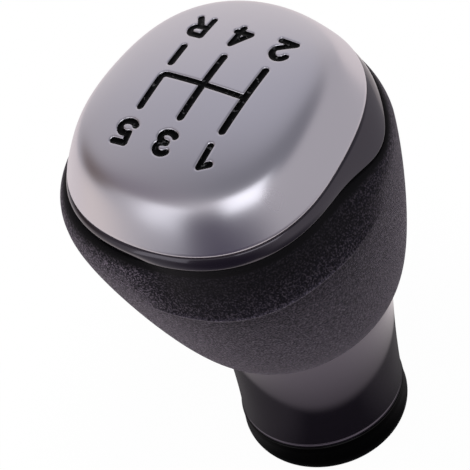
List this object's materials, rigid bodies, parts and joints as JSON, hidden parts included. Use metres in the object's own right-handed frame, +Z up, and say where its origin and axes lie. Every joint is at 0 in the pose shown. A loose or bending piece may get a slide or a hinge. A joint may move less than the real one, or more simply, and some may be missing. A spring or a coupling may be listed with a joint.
{
  "type": "gear shift knob",
  "caption": "Manual gear knob: metal-finish cap engraved with a shift pattern, grained grip, gloss neck and a foot collar round the bore for the lever.",
  "frame": {"origin": "centre of the foot collar's hole, in the flat underside it stands on", "axes": "+Z up the gear lever's axis, +Y to the front of the car (towards gears 1, 3 and 5), +X right"},
  "size_m": [0.058, 0.0569, 0.0943],
  "materials": {
    "satin_chrome": "satin metal plating on moulded plastic",
    "black_enamel": "gloss black enamel in the engraving",
    "foam": "open foam",
    "steel": "plain machined steel",
    "black_plastic": "moulded black plastic",
    "gloss_black": "high gloss black plastic",
    "grip_rubber": "soft-touch with fine leather grain",
    "brass": "turned",
    "rubber": "moulded rubber",
    "collar_black": "high gloss near-black plastic"
  },
  "bodies": {
    "root": {"cap_shell": "satin_chrome", "pattern_enamel": "black_enamel", "foam_pad": "foam", "ballast_weight": "steel", "cap_carrier": "black_plastic", "carrier_screws": "steel", "trim_ring": "gloss_black", "grip_skin": "grip_rubber", "grip_core": "black_plastic", "lever_bush": "brass", "damper_sleeve": "rubber", "bush_washer": "steel", "bush_nut": "steel", "neck_sleeve": "gloss_black", "gaiter_seal": "rubber", "foot_collar": "collar_black", "retaining_ring": "steel"}
  },
  "joints": []
}
